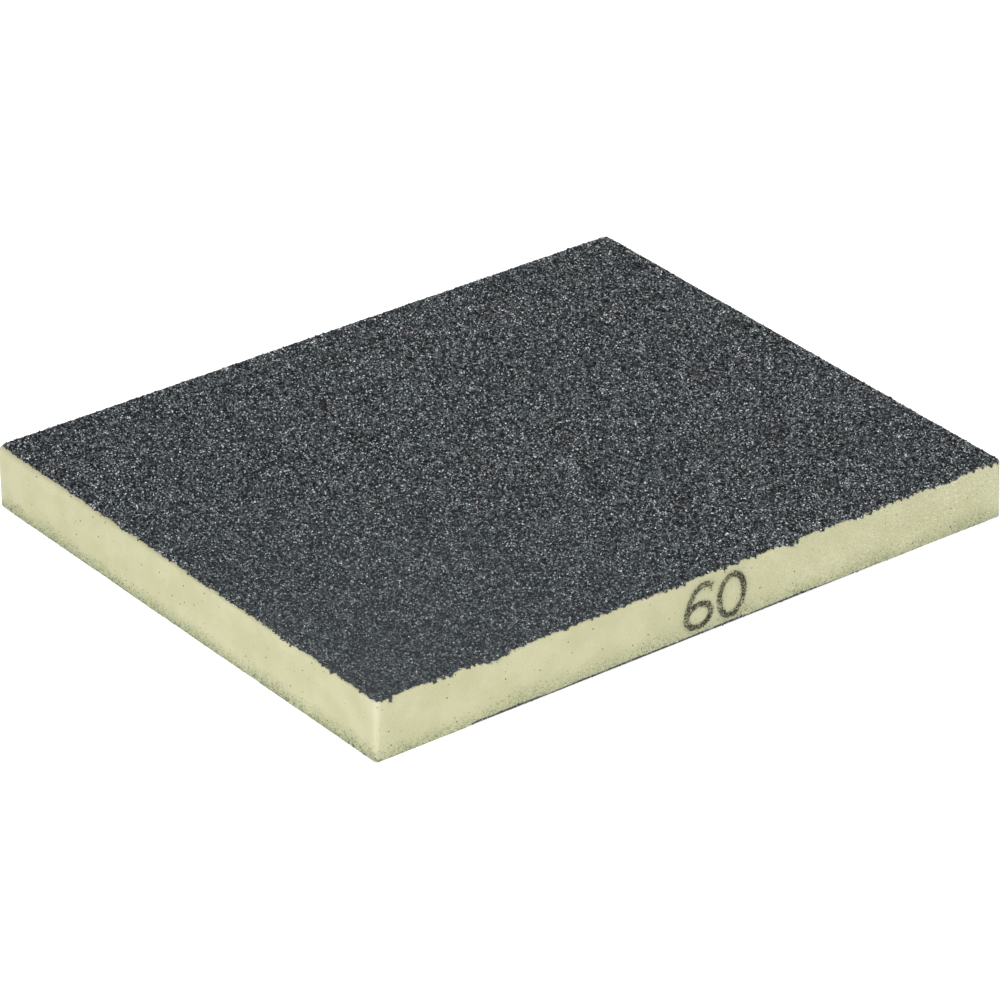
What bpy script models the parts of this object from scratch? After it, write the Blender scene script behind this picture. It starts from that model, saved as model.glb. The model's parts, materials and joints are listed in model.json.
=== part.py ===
"""Hand sanding pad: a foam slab with a coarse abrasive coat on its top and bottom faces.

The pad stands on Z = 0 with its middle over the origin. Its length runs along X, its width
along Y and its layers are stacked along Z. The grade number is inked into the -Y edge.
All sizes are in metres.
"""

import math

import bmesh
import bpy

# Plan of the pad, shared by every layer
PAD_LENGTH = 0.125
PAD_WIDTH = 0.100
CORNER_RADIUS = 0.0006
CORNER_SEGMENTS = 6

# Thickness of the foam sheet as it is sold, and of each coat
FOAM_SHEET_THICKNESS = 0.010
BOND_COAT_THICKNESS = 0.0001
GRIT_COAT_THICKNESS = 0.00025

# Clearance between pieces that lie on or in one another. Between the foam and a bond coat it
# is the skin of the sheet that the resin soaks.
SEAT_GAP = 0.0003

# Grade number on the front edge
INK_DEPTH = 0.0002
DIGIT_MARGIN = 0.00055  # foam left above and below a digit
DIGIT_WIDTH = 0.0059
DIGIT_STROKE = 0.00095
DIGIT_SPACE = 0.0008
MARK_SHIFT = 0.0036  # from the pad's middle to the middle of the two digits, along X
BOWL_HEIGHT = 0.005  # lower loop of the six
TAIL_CROWN = 0.0008  # top of the six's tail, right of the digit's middle
TAIL_END_ANGLE = math.radians(59)
ARC_STEP = math.radians(7.5)
CUTTER_OVERRUN = 0.001  # how far a cutter stands out of the face that it cuts
WELD_DISTANCE = 0.000001

# Colour, roughness and metallic value of each material
FOAM_LOOK = ((0.66, 0.64, 0.41), 0.92, 0.0)
BOND_LOOK = ((0.055, 0.042, 0.048), 0.45, 0.0)
GRIT_LOOK = ((0.045, 0.050, 0.056), 0.55, 0.0)
INK_LOOK = ((0.075, 0.072, 0.050), 0.80, 0.0)

# The dry foam between the two soaked skins
FOAM_THICKNESS = FOAM_SHEET_THICKNESS - 2 * SEAT_GAP

# Heights of the layers, from the face that the pad lies on
BOTTOM_GRIT_Z = 0.0
BOTTOM_BOND_Z = BOTTOM_GRIT_Z + GRIT_COAT_THICKNESS + SEAT_GAP
FOAM_Z = BOTTOM_BOND_Z + BOND_COAT_THICKNESS + SEAT_GAP
TOP_BOND_Z = FOAM_Z + FOAM_THICKNESS + SEAT_GAP
TOP_GRIT_Z = TOP_BOND_Z + BOND_COAT_THICKNESS + SEAT_GAP

# Size and place of the digits, as seen from the front
DIGIT_HEIGHT = FOAM_THICKNESS - 2 * DIGIT_MARGIN
DIGIT_REACH = (DIGIT_WIDTH + DIGIT_SPACE) / 2
MARK_Z = FOAM_Z + FOAM_THICKNESS / 2
FRONT_Y = -PAD_WIDTH / 2


def clear_scene():
    """Remove every object that the file holds."""
    for old in list(bpy.data.objects):
        bpy.data.objects.remove(old, do_unlink=True)


def new_collection(name):
    collection = bpy.data.collections.new(name)
    bpy.context.scene.collection.children.link(collection)
    return collection


def new_material(name, look):
    """A plain Principled material with the colour, roughness and metallic value in look."""
    color, roughness, metallic = look
    material = bpy.data.materials.new(name)
    material.use_nodes = True
    shader = material.node_tree.nodes["Principled BSDF"]
    shader.inputs["Base Color"].default_value = (*color, 1.0)
    shader.inputs["Roughness"].default_value = roughness
    shader.inputs["Metallic"].default_value = metallic
    material.diffuse_color = (*color, 1.0)
    return material


def layer(name, bottom, thickness, material, collection, pad):
    """One slab with the pad's plan: a plane with rounded corners, made thick."""
    bpy.ops.mesh.primitive_plane_add(size=1, location=(0, 0, bottom))
    slab = bpy.context.active_object
    slab.name = name
    slab.data.name = name
    slab.scale = (PAD_LENGTH, PAD_WIDTH, 1)
    bpy.ops.object.transform_apply(location=False, rotation=False, scale=True)
    corners = slab.modifiers.new("corners", "BEVEL")
    corners.affect = "VERTICES"
    corners.width = CORNER_RADIUS
    corners.segments = CORNER_SEGMENTS
    wall = slab.modifiers.new("thickness", "SOLIDIFY")
    wall.thickness = thickness
    wall.offset = 1
    slab.data.materials.append(material)
    move_to(slab, collection)
    slab.parent = pad
    return slab


def move_to(piece, collection):
    """Keep piece in this collection only."""
    for old in list(piece.users_collection):
        old.objects.unlink(piece)
    collection.objects.link(piece)


def arc(center, radii, start, end):
    """Points of an ellipse's arc, a step apart, from one angle to the other."""
    steps = max(1, round(abs(end - start) / ARC_STEP))
    angles = [start + (end - start) * i / steps for i in range(steps + 1)]
    return [(center[0] + radii[0] * math.cos(a), center[1] + radii[1] * math.sin(a)) for a in angles]


def grown(radii, amount):
    return (radii[0] + amount, radii[1] + amount)


def loop_outline(center, radii, stroke):
    """The two outlines of a closed oval stroke, outer and inner."""
    outer = arc(center, grown(radii, stroke / 2), 0, 2 * math.pi)[:-1]
    inner = arc(center, grown(radii, -stroke / 2), 0, 2 * math.pi)[:-1]
    return [outer, inner]


def band_outline(center, radii, start, end, stroke):
    """The outline of an open curved stroke with square ends."""
    outer = arc(center, grown(radii, stroke / 2), start, end)
    inner = arc(center, grown(radii, -stroke / 2), end, start)
    return [outer + inner]


def zero_outlines(clearance):
    """The zero is one loop as tall and as wide as the digit."""
    radii = ((DIGIT_WIDTH - DIGIT_STROKE) / 2, (DIGIT_HEIGHT - DIGIT_STROKE) / 2)
    return [loop_outline((0, 0), radii, DIGIT_STROKE + 2 * clearance)]


def six_outlines(clearance):
    """The six is a loop on the digit's foot, and a tail that leaves the loop's left side."""
    stroke = DIGIT_STROKE + 2 * clearance
    bowl = ((DIGIT_WIDTH - DIGIT_STROKE) / 2, (BOWL_HEIGHT - DIGIT_STROKE) / 2)
    bowl_center = (0, (BOWL_HEIGHT - DIGIT_HEIGHT) / 2)
    crown = (DIGIT_HEIGHT - DIGIT_STROKE) / 2
    tail = (bowl[0] + TAIL_CROWN, crown - bowl_center[1])
    tail_center = (TAIL_CROWN, bowl_center[1])
    end = TAIL_END_ANGLE - clearance / tail[0]
    return [
        loop_outline(bowl_center, bowl, stroke),
        band_outline(tail_center, tail, math.pi, end, stroke),
    ]


def extruded(name, outlines, near_y, far_y, collection):
    """A solid from flat outlines in X and Z, between two depths along Y, as a mesh."""
    curve = bpy.data.curves.new(name, "CURVE")
    curve.dimensions = "2D"
    curve.fill_mode = "BOTH"
    curve.extrude = (far_y - near_y) / 2
    for outline in outlines:
        spline = curve.splines.new("POLY")
        spline.points.add(len(outline) - 1)
        for point, (x, z) in zip(spline.points, outline):
            point.co = (x, z, 0, 1)
        spline.use_cyclic_u = True
    shape = bpy.data.objects.new(name, curve)
    shape.rotation_euler = (math.pi / 2, 0, 0)
    collection.objects.link(shape)
    bpy.context.view_layer.update()
    evaluated = shape.evaluated_get(bpy.context.evaluated_depsgraph_get())
    mesh = bpy.data.meshes.new_from_object(evaluated)
    mesh.transform(shape.matrix_world)
    bpy.data.objects.remove(shape)
    solid = bpy.data.objects.new(name, welded(mesh))
    solid.location = (0, (near_y + far_y) / 2, 0)
    collection.objects.link(solid)
    return solid


def welded(mesh):
    """Join the loose caps of a curve's mesh to its walls."""
    work = bmesh.new()
    work.from_mesh(mesh)
    bmesh.ops.remove_doubles(work, verts=work.verts, dist=WELD_DISTANCE)
    bmesh.ops.recalc_face_normals(work, faces=work.faces)
    work.to_mesh(mesh)
    work.free()
    return mesh


def boolean(piece, tool, operation):
    """Join tool to piece, or cut it out of piece, and keep tool as a guide only."""
    modifier = piece.modifiers.new(operation.lower(), "BOOLEAN")
    modifier.operation = operation
    modifier.object = tool
    modifier.solver = "EXACT"
    tool.hide_render = True
    tool.display_type = "WIRE"


def digit(name, outlines_of, x, material, foam, collection, cutters, pad):
    """One inked digit, and the pocket that the foam leaves for it."""
    strokes = [
        extruded(f"{name}_stroke_{i}", outlines, 0, INK_DEPTH, cutters)
        for i, outlines in enumerate(outlines_of(0))
    ]
    ink = strokes[0]
    ink.name = name
    ink.data.name = name
    ink.data.materials.append(material)
    move_to(ink, collection)
    for stroke in strokes[1:]:
        boolean(ink, stroke, "UNION")
    pockets = [
        extruded(f"{name}_pocket_{i}", outlines, -CUTTER_OVERRUN, INK_DEPTH + SEAT_GAP, cutters)
        for i, outlines in enumerate(outlines_of(SEAT_GAP))
    ]
    for piece in strokes + pockets:
        piece.location.x += x
        piece.location.y += FRONT_Y
        piece.location.z += MARK_Z
    for pocket in pockets:
        boolean(foam, pocket, "DIFFERENCE")
    ink.parent = pad
    return ink


def main():
    clear_scene()
    collection = new_collection("sanding_block")
    cutters = new_collection("cutters")
    pad = bpy.data.objects.new("pad", None)
    collection.objects.link(pad)

    foam_material = new_material("foam", FOAM_LOOK)
    bond_material = new_material("bond_coat", BOND_LOOK)
    grit_material = new_material("grit_coat", GRIT_LOOK)
    ink_material = new_material("ink", INK_LOOK)

    foam = layer("foam_core", FOAM_Z, FOAM_THICKNESS, foam_material, collection, pad)
    for name, bottom, thickness, material in (
        ("top_bond_coat", TOP_BOND_Z, BOND_COAT_THICKNESS, bond_material),
        ("top_grit_coat", TOP_GRIT_Z, GRIT_COAT_THICKNESS, grit_material),
        ("bottom_bond_coat", BOTTOM_BOND_Z, BOND_COAT_THICKNESS, bond_material),
        ("bottom_grit_coat", BOTTOM_GRIT_Z, GRIT_COAT_THICKNESS, grit_material),
    ):
        layer(name, bottom, thickness, material, collection, pad)

    for name, outlines_of, side in (
        ("grade_digit_6", six_outlines, -1),
        ("grade_digit_0", zero_outlines, 1),
    ):
        x = MARK_SHIFT + side * DIGIT_REACH
        digit(name, outlines_of, x, ink_material, foam, collection, cutters, pad)


main()
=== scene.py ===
"""Looks of a hand sanding pad: a foam slab with coarse grit on its top and bottom faces.

The pad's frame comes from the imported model. Its length runs along X, its width along Y and its
layers are stacked along Z. Sizes are in metres.
"""

import json
import math

import bmesh
import bpy
import numpy as np
from mathutils import Matrix, Vector, noise
from mathutils.bvhtree import BVHTree

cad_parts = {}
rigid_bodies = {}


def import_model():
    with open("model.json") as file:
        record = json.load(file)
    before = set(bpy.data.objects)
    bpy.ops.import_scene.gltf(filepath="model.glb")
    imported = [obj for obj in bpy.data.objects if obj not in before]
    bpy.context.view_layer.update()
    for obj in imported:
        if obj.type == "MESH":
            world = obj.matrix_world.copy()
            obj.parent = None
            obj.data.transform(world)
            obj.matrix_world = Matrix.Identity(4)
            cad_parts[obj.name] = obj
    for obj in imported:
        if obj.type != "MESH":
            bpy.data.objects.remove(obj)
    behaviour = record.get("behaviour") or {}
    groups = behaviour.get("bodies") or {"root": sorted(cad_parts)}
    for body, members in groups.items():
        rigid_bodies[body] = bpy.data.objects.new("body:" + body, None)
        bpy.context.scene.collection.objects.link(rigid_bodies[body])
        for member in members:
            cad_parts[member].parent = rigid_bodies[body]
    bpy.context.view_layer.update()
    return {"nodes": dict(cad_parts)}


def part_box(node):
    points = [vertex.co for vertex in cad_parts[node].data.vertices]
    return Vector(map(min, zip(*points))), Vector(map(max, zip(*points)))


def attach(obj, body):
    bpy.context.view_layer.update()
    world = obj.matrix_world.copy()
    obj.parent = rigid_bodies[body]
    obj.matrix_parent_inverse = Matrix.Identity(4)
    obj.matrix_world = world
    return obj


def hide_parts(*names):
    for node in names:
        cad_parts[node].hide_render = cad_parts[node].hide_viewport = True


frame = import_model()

MM = 0.001
MAP_NAME = "OFBake"
HILL_GAIN = 1.4
HILL_SHIFT = Vector((13.7, 7.3, 3.1))  # from one seed's hills to the next one's

# The frame's layers, from the floor up
BOTTOM_GRIT_LOW, BOTTOM_GRIT_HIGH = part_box("bottom_grit_coat")
BOTTOM_BOND_LOW, BOTTOM_BOND_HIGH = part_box("bottom_bond_coat")
FOAM_LOW, FOAM_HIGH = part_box("foam_core")
TOP_GRIT_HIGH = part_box("top_grit_coat")[1]
HALF_X = FOAM_HIGH.x
HALF_Y = FOAM_HIGH.y
CORNER_RADIUS = 0.60 * MM

# Foam block. It stands a little proud of the coats, and its rim rounds up to the top coat.
FOAM_STEP = 0.215 * MM
FOAM_ROWS = 41
RIM_SHARES = (0.966, 0.978, 0.988, 0.996, 1.0)  # heights of the last rows, where the rim curves
FOAM_PROUD = 0.27 * MM
FOOT_PROUD = 0.08 * MM
FRONT_LEAN = 0.36 * MM
RIGHT_STRETCH = (0.30 * MM, 1.20 * MM)  # at the rim and at the foot
RIGHT_STRETCH_LOSS = 0.6  # share of the foot's stretch that is gone at the far end
LEFT_STRETCH = (0.25 * MM, 0.15 * MM)
FOAM_TOP_Z = TOP_GRIT_HIGH.z - 0.42 * MM
FOAM_RIM_RADIUS = 0.35 * MM
LEFT_RIM_RADIUS = 0.90 * MM  # at its far end
FOAM_FOOT_RADIUS = 0.10 * MM
FOOT_RING_SHARE = 0.99
LEDGE_WIDTH = 1.2 * MM
ROOF_DIP = 0.3 * MM
SMOOTH_BELOW = math.radians(55)

# The foot's lip, the waves and the open cells of the foam's cut side
LIP_LOW_Z = 0.12 * MM
LIP_HIGH_Z = BOTTOM_BOND_LOW.z + 0.03 * MM
LIP_WAVE = 0.02 * MM
LIP_WAVE_LENGTH = 1.2 * MM
CUT_WAVE = 0.15 * MM
CUT_WAVE_LENGTH = 9 * MM
CUT_WAVE_UPRIGHT = 0.25  # how much the waves change with height, against along the side
CUT_WAVE_FOOT = 0.3
FINE_WAVE = 0.35 * CUT_WAVE
FINE_WAVE_LENGTH = 0.3 * CUT_WAVE_LENGTH
CELL_DEPTH = 0.09 * MM
CELL_SIZE = 0.50 * MM
CALM_CELLS = 0.25
TORN_FROM = -0.7 * HALF_X
TORN_TO = 0.6 * HALF_X
TORN_SLANT = 0.35
# Reach of the painted highlight that lightens the foam along the pad's upright corners
CORNER_HIGHLIGHT_REACH = 1.8 * MM
STAIN_REACH = 0.30 * MM
LEFT_STAIN_LOSS = 0.6

# The UV maps of the foam and of the beds
FOAM_STRIPS = 6
STRIP_MARGIN = 0.04
CAP_WIDTH = 0.48
CAP_REACH = (0.49, 0.45)
BED_MAP_REACH = HALF_X * 1.02

# Where the lower coat shows under the foam's lip: along the front and the back, and on the right
FRONT_COAT_FROM = -HALF_X + 17.0 * MM
FRONT_COAT_TO = HALF_X - 19 * MM
RIGHT_COAT_FROM = -0.5 * HALF_Y
RIGHT_COAT_TO = 0.8 * HALF_Y
COAT_FADE = 2.5 * MM
FRONT_COAT_FADE = 11 * COAT_FADE
COAT_INSET = 0.07 * MM
COAT_LIFT = 0.26 * MM
COAT_BREAKS = 0.5
COAT_BREAK_LENGTH = 7 * MM
THICK_LINE_LENGTH = 10 * MM
THICK_LINE = 1.05
THIN_LINE_LOSS = 0.26
LIP_INSET = 0.55 * MM
BED_HIDING = (0.85, 1.0)  # shares of lip between which the bed draws in
FRINGE_HIDING = (0.6, 0.9)
FACES_SIDE = 0.7  # least share of the outward direction that counts as facing a side

# Grime and dust of grit on the foam's cut edge
GRIME_HEIGHT = 0.32
GRIME_HILLS = ((0.45, 9 * MM), (0.25, 2.5 * MM))  # size and length of the slow and the fine ones
LEAST_GRIME_HEIGHT = 0.08
GRIME_FALL = 1.5
LEFT_GRIME = 0.50
SIDE_SKIN = 0.5 * MM  # points this near to the outline belong to the side
DUST_HEIGHT = 0.30
DUST_FALL = 1.2
DUST_EVERYWHERE = 0.007
DUST_PATCH = 4 * MM
DUST_PATCH_MIDDLE = 0.7
DUST_PATCH_SWING = 0.6
DUST_PATCH_LIMITS = (0.15, 1.4)
DUST_DENSITY = 1.3e7
DUST_SIZE = (0.08 * MM, 0.22 * MM)
DUST_SEED = 70

# Stamped grade number
DIGITS = ("grade_digit_6", "grade_digit_0")
INK_INSET = 0.29 * MM
INK_PATCH = 2.0 * MM
INK_PATCH_MIDDLE = 0.9
INK_PATCH_SWING = 1.1
INK_PATCH_LIMITS = (0.35, 1.5)
INK_DROP = (-0.12 * MM, -0.30 * MM)  # of the six and of the zero
INK_BLUR = 0.20 * MM
INK_HALO = 0.8 * MM
INK_SHARES = (0.7, 0.3)  # of the blur and of the halo
INK_ZONE = (16 * MM, 3 * MM)  # half its length along X, and its depth from the front
INK_DENSITY = 7.5e7
INK_SPECK = (0.08 * MM, 0.26 * MM)
INK_SPREAD = 0.13 * MM
INK_SEEDS = (80, 90)
WELD_DISTANCE = 0.001 * MM
FLAT_WITHIN = 0.01 * MM
RAY_START = 3 * MM  # in front of each speck
RAY_LENGTH = 6 * MM

# Grit beds
TOP_CELLS = (340, 272)
BOTTOM_CELLS = (240, 192)
TOP_BED_SEED = 11
BOTTOM_BED_SEED = 12
BED_JITTER = 0.38
BED_RELIEF = 0.20 * MM
BED_DEPTH = 0.20 * MM
EDGE_WANDER = 0.26 * MM
EDGE_WANDER_LENGTH = 5 * MM
EDGE_LUMPS = 0.20 * MM
EDGE_LUMP_LENGTH = 0.65 * MM
EDGE_TEETH = 0.24 * MM
EDGE_CUTBACK = 0.32 * MM
NEAR_CUTBACK = 0.15  # share that is added to the cutback all along
FRONT_REACH = 0.09 * MM
CALM_EDGE = 0.25
RIM_COVER = 1.5
HEM_REACH = 0.03 * MM
HEM_TEETH = 0.5 * EDGE_TEETH
HEM_SAG = 0.9
SKIRT_DROP = 0.30 * MM
LOW_SKIRT_DROP = SKIRT_DROP + 0.1 * MM
LOW_HEM_TEETH = 0.02 * MM
SKIRT_TUCK = 0.9 * MM
TUCK_RISE = 0.05 * MM

# Binder fringes
FRINGE_CELLS = (900, 720)
TOP_FRINGE_SEED = 41
BOTTOM_FRINGE_SEED = 42
CREEP = 0.12 * MM
CREEP_LENGTH = 0.6 * MM
CREEP_TEETH = 0.05 * MM
CREEP_LIFT = 0.4
FRINGE_INSET = 0.06 * MM
FRINGE_SINK = 0.12 * MM
FRINGE_LIFT = 0.03 * MM
LOW_FRINGE_INSET = 0.05 * MM
LOW_FRINGE_SINK = 0.08 * MM
FRINGE_TUCK = 1.0 * MM

# Grains, and the crystals that they are copied from
CRYSTAL_SHAPES = 14
CRYSTAL_FACES = 6
CRYSTAL_SEED = 5
CRYSTAL_TIP = 0.9
CRYSTAL_REACH = (0.8, 1.2)
CRYSTAL_JITTER = 0.30
CRYSTAL_SQUASH = (0.75, 1.2)
CRYSTAL_SIZE = 0.52
TOP_DENSITY = 2.07e6
BOTTOM_DENSITY = 1.68e6
TOP_SHIFT = (-0.06 * MM, 0.04 * MM)
BOTTOM_SHIFT = (0.0, 0.06 * MM)
GRAIN_SIZE = (0.175 * MM, 0.38 * MM)
TOP_LAYERS = 5
BOTTOM_LAYERS = 2
LAYER_SEED_STEP = 10
MAP_CELL_MARGIN = 0.05
MAP_CELL_SPAN = 0.9
SCATTER_SOCKETS = (
    ("Crystals", "Collection"),
    ("Onto", "Object"),
    ("Per square metre", "Float"),
    ("Smallest", "Float"),
    ("Largest", "Float"),
    ("Lowest shift", "Vector"),
    ("Highest shift", "Vector"),
    ("Seed", "Int"),
    ("Material", "Material"),
)

# Tones. A list pairs each tone with its place along a value.
FOAM_TONES = ((0.38, (0.526, 0.518, 0.324)), (0.62, (0.570, 0.559, 0.364)))
# Painted highlight: the lighter foam tone along the upright corners
CORNER_HIGHLIGHT_TONE = (0.64, 0.63, 0.46)
CELL_TONE = (0.33, 0.34, 0.20)
WISP_TONE = (0.79, 0.76, 0.58)
HAZE_TONE = (0.235, 0.285, 0.175)
SPECK_TONE = (0.09, 0.115, 0.07)
STAIN_TONE = (0.20, 0.145, 0.13)
# Painted shade: the dark inside of the larger pores
PORE_SHADE_TONE = (0.09, 0.08, 0.045)
BLURRED_INK_TONE = (0.10, 0.11, 0.08)
COAT_HUES = ((0.36, (0.82, 0.88, 0.89)), (0.64, (0.90, 0.855, 0.89)))
HANDLED_TONE = (0.050, 0.061, 0.066)
HANDLED_REACH = 75 * MM
HANDLED_SHARE = 0.64
BED_TONES = (
    (0.32, (0.0015, 0.0025, 0.003)),
    (0.55, (0.011, 0.016, 0.018)),
    (0.70, (0.055, 0.067, 0.074)),
    (0.84, (0.25, 0.28, 0.295)),
)
# Grain tones along a random value: real dark and grey grains, and near-white top stops that are painted
# highlights standing in for glints
GRAIN_AND_GLINT_TONES = (
    (0.00, (0.001, 0.0015, 0.002)),
    (0.46, (0.005, 0.0085, 0.010)),
    (0.70, (0.047, 0.059, 0.065)),
    (0.83, (0.20, 0.235, 0.25)),
    (0.92, (0.84, 0.90, 0.92)),
    (1.00, (1.00, 1.00, 1.00)),
)
CLOUD_TONE = (0.08, 0.08, 0.085)
BINDER_TONES = ((0.35, (0.055, 0.038, 0.045)), (0.65, (0.24, 0.17, 0.15)))
INK_TONES = ((0.0, (0.018, 0.018, 0.014)), (0.7, (0.055, 0.054, 0.036)), (1.0, (0.15, 0.14, 0.09)))
DUST_TONES = (
    (0.0, (0.045, 0.060, 0.042)),
    (0.6, (0.17, 0.20, 0.125)),
    (0.85, (0.30, 0.33, 0.21)),
    (1.0, (0.66, 0.65, 0.50)),
)

# Camera, lights and floor
CAMERA_LENS = 224.0
CAMERA_SENSOR = 36
CAMERA_TARGET = Vector((-3.52 * MM, -4.83 * MM, FOAM_LOW.z + 4.7 * MM))
CAMERA_AZIMUTH = math.radians(38.47)
CAMERA_ELEVATION = math.radians(28.98)
CAMERA_DISTANCE = 0.9945
CAMERA_ROLL = math.radians(0.73)
LIGHT_DISTANCE = 1.2
KEY_LIGHT = (50, 42, 0.30, 11.0)  # azimuth and elevation in degrees, size, and power in watts
RIM_LIGHT = (238, 38, 0.20, 5.5)
WORLD_STRENGTH = 0.24
FLOOR_HALF = 4.0
FLOOR_TONE = 0.75
FLOOR_GLOW = 0.60


# Outline of the pad


def rounded(x, y):
    """Bend a rectangle's corners onto arcs. Gives x, y and the way out of the pad near its edge."""
    u = np.maximum(np.abs(x) - (HALF_X - CORNER_RADIUS), 0) / CORNER_RADIUS
    v = np.maximum(np.abs(y) - (HALF_Y - CORNER_RADIUS), 0) / CORNER_RADIUS
    reach = np.maximum(u, v)
    share = np.minimum(u, v) / np.maximum(reach, 1e-9)
    turn = np.where(u >= v, share, 2 - share) * math.pi / 4
    out_x = np.sign(x) * np.cos(turn) * (reach > 0)
    out_y = np.sign(y) * np.sin(turn) * (reach > 0)
    bent_x = np.sign(x) * (HALF_X - CORNER_RADIUS) + CORNER_RADIUS * reach * out_x
    bent_y = np.sign(y) * (HALF_Y - CORNER_RADIUS) + CORNER_RADIUS * reach * out_y
    return np.where(u > 0, bent_x, x), np.where(v > 0, bent_y, y), out_x, out_y


def outline(columns, rows):
    """Points along the pad's outline, counter-clockwise from its front left corner."""
    along_x = np.linspace(-HALF_X, HALF_X, columns + 1)[:-1]
    along_y = np.linspace(-HALF_Y, HALF_Y, rows + 1)[:-1]
    x = np.concatenate([along_x, np.full(rows, HALF_X), -along_x, np.full(rows, -HALF_X)])
    y = np.concatenate([np.full(columns, -HALF_Y), along_y, np.full(columns, HALF_Y), -along_y])
    return rounded(x, y)


def hills(x, y, z, length, seed):
    """Soft random values, mostly between -1 and 1, whose hills are about a length apart."""
    points = np.stack(np.broadcast_arrays(x, y, z), -1).reshape(-1, 3) / length
    shift = HILL_SHIFT * seed
    values = [HILL_GAIN * noise.noise(Vector(point) + shift) for point in points.tolist()]
    return np.array(values).reshape(np.broadcast(x, y, z).shape)


def ramp(value, start, end):
    """From 0 at start to 1 at end, with soft ends."""
    share = np.clip((value - start) / (end - start), 0, 1)
    return share * share * (3 - 2 * share)


def window(value, start, end, fade):
    """1 between start and end, and 0 past them."""
    return ramp(value, start, start + fade) * (1 - ramp(value, end - fade, end))


def lip_cover(x, y, out_x, out_y):
    """How much of the lower coat's edge the foam's lip hides: 1 is all of it."""
    front = ramp(x, FRONT_COAT_FROM, FRONT_COAT_FROM + COAT_FADE) * (np.abs(out_y) > FACES_SIDE)
    front = front * (1 - ramp(x, FRONT_COAT_TO - FRONT_COAT_FADE, FRONT_COAT_TO))
    thin_from = FRONT_COAT_FROM + 0.7 * THICK_LINE_LENGTH
    thin_to = FRONT_COAT_FROM + 1.3 * THICK_LINE_LENGTH
    front = front * (THICK_LINE - THIN_LINE_LOSS * ramp(x, thin_from, thin_to))
    right = window(y, RIGHT_COAT_FROM, RIGHT_COAT_TO, COAT_FADE) * (out_x > FACES_SIDE)
    shown = front + right
    breaks = COAT_BREAKS * shown * hills(x, y, 0, COAT_BREAK_LENGTH, seed=21)
    return np.clip(1 - shown + breaks, 0, 1)


def edge_wander(x, y, out_x, out_y):
    """How far a coat's rim strays out of the pad's outline, and how ragged it is there.

    The far edges are cut straighter, and the left edge is cut back towards its far end.
    """
    calm = 1 - (1 - CALM_EDGE) * ramp(np.maximum(out_x, out_y), 0.0, FACES_SIDE)
    slow = EDGE_WANDER * hills(x, y, 0, EDGE_WANDER_LENGTH, seed=31)
    lumps = EDGE_LUMPS * hills(x, y, 0, EDGE_LUMP_LENGTH, seed=32)
    cutback = EDGE_CUTBACK * (NEAR_CUTBACK + ramp(y, -HALF_Y, HALF_Y)) * np.maximum(-out_x, 0)
    return (slow + lumps) * calm - cutback + FRONT_REACH * np.maximum(-out_y, 0), calm


def cut_wave(x, y, z, share):
    """Waves that the blade left in the foam's side. They are weaker towards the foot."""
    wave = CUT_WAVE * hills(x, y, z * CUT_WAVE_UPRIGHT, CUT_WAVE_LENGTH, seed=1)
    wave = wave + FINE_WAVE * hills(x, y, z, FINE_WAVE_LENGTH, seed=2)
    return wave * (CUT_WAVE_FOOT + (1 - CUT_WAVE_FOOT) * share)


def foot_offset(x, out_y):
    """How far the foam's foot stands out of the pad's outline. The front leans in to the right."""
    return FOOT_PROUD - FRONT_LEAN * ramp(x, -HALF_X, HALF_X) * np.maximum(-out_y, 0)


def rim_radius(y, out_x):
    """How softly the foam's rim rounds up to the top coat: most at the far end of the left side."""
    extra = LEFT_RIM_RADIUS - FOAM_RIM_RADIUS
    return FOAM_RIM_RADIUS + extra * ramp(y, -HALF_Y, HALF_Y) * np.maximum(-out_x, 0)


def end_stretch(x, y, share):
    """How far the foam is drawn out along X, most at its ends.

    share is 0 at its foot and 1 at its rim.
    """
    right = RIGHT_STRETCH[1] * (1 - RIGHT_STRETCH_LOSS * ramp(y, -HALF_Y, HALF_Y))
    right = right + (RIGHT_STRETCH[0] - right) * share
    left = LEFT_STRETCH[1] + (LEFT_STRETCH[0] - LEFT_STRETCH[1]) * share
    left = left * ramp(y, -HALF_Y, HALF_Y)
    return np.where(x > 0, right, left) * x / HALF_X


# Mesh helpers


def ring_faces(count, rings):
    """Quads between stacked rings of count points each, which face outwards when the rings go up."""
    level, column = np.meshgrid(np.arange(rings - 1), np.arange(count), indexing="ij")
    after = (column + 1) % count
    low = level * count
    high = low + count
    return np.stack([low + column, low + after, high + after, high + column], -1).reshape(-1, 4)


def fan_faces(ring, hub, up):
    """Triangles from a closed ring of points to one hub."""
    after = np.roll(ring, -1)
    hubs = np.full(len(ring), hub)
    return np.stack([ring, after, hubs] if up else [after, ring, hubs], -1)


def new_object(name, data):
    """An object of the scene that holds this data."""
    thing = bpy.data.objects.new(name, data)
    bpy.context.scene.collection.objects.link(thing)
    return thing


def new_piece(name, points, faces, material):
    """A mesh object at the origin, from points and a list of face arrays."""
    mesh = bpy.data.meshes.new(name)
    mesh.from_pydata(points.tolist(), [], [face for group in faces for face in group.tolist()])
    mesh.materials.append(material)
    return new_object(name, mesh)


def set_attribute(mesh, name, values):
    """A number at each point of the mesh."""
    attribute = mesh.attributes.new(name, "FLOAT", "POINT")
    attribute.data.foreach_set("value", np.asarray(values, np.float32))


def set_map(mesh, corners):
    """The piece's own UV map, from one pair of numbers for each corner of each face."""
    layer = mesh.uv_layers.new(name=MAP_NAME)
    layer.uv.foreach_set("vector", np.clip(corners, 0, 1).astype(np.float32).ravel())


# Foam block


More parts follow.
